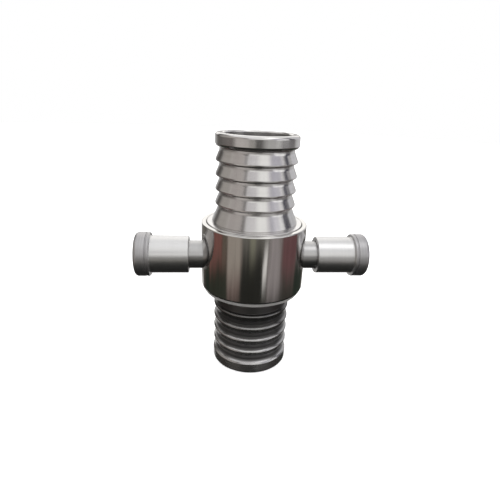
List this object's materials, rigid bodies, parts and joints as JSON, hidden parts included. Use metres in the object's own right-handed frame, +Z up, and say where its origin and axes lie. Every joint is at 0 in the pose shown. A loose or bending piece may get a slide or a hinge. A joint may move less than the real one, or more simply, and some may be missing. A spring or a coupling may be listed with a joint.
{
  "type": "instantaneous hose coupling",
  "caption": "Stainless instantaneous fire-hose coupling: male half locked in the female half's cup by spring plungers with side pull-knobs, serrated hose tails at both ends.",
  "frame": {"origin": "on the bore's axis, in the plane of the female half's hose end", "axes": "+Z up the bore from the female half's hose end to the male half's, X along the two plunger lugs, seen from the front along +Y"},
  "size_m": [0.194, 0.0866, 0.1974],
  "materials": {
    "polished_steel": "mirror-polished stainless steel",
    "turned_steel": "fine-turned satin stainless steel",
    "plain_steel": "plain stainless steel fasteners",
    "spring_steel": "drawn stainless spring wire",
    "brass": "turned brass",
    "rubber": "moulded black rubber"
  },
  "bodies": {
    "female_half": {"female_cup": "polished_steel", "female_tail": "turned_steel", "sealing_washer": "rubber", "left_housing": "turned_steel", "right_housing": "turned_steel", "left_guide_bush": "brass", "right_guide_bush": "brass", "left_guide_screw": "plain_steel", "right_guide_screw": "plain_steel", "left_spring": "spring_steel", "right_spring": "spring_steel"},
    "male_half": {"male_body": "turned_steel"},
    "left_release": {"left_plunger": "turned_steel", "left_pull_knob": "turned_steel", "left_knob_washer": "plain_steel", "left_knob_nut": "plain_steel", "left_split_pin": "plain_steel"},
    "right_release": {"right_plunger": "turned_steel", "right_pull_knob": "turned_steel", "right_knob_washer": "plain_steel", "right_knob_nut": "plain_steel", "right_split_pin": "plain_steel"}
  },
  "joints": [
    {"name": "male_swivel", "type": "hinge", "parent": "female_half", "child": "male_half", "pos_m": [0, 0, 0.0977], "axis": [0, 0, 1], "continuous": true},
    {"name": "left_pull", "type": "slide", "parent": "female_half", "child": "left_release", "axis": [-1, 0, 0], "range_m": [0, 0.007], "stiffness_N_per_m": 2400, "springref_m": -0.006, "deforming": ["left_spring"]},
    {"name": "right_pull", "type": "slide", "parent": "female_half", "child": "right_release", "axis": [1, 0, 0], "range_m": [0, 0.007], "stiffness_N_per_m": 2400, "springref_m": -0.006, "deforming": ["right_spring"]}
  ]
}
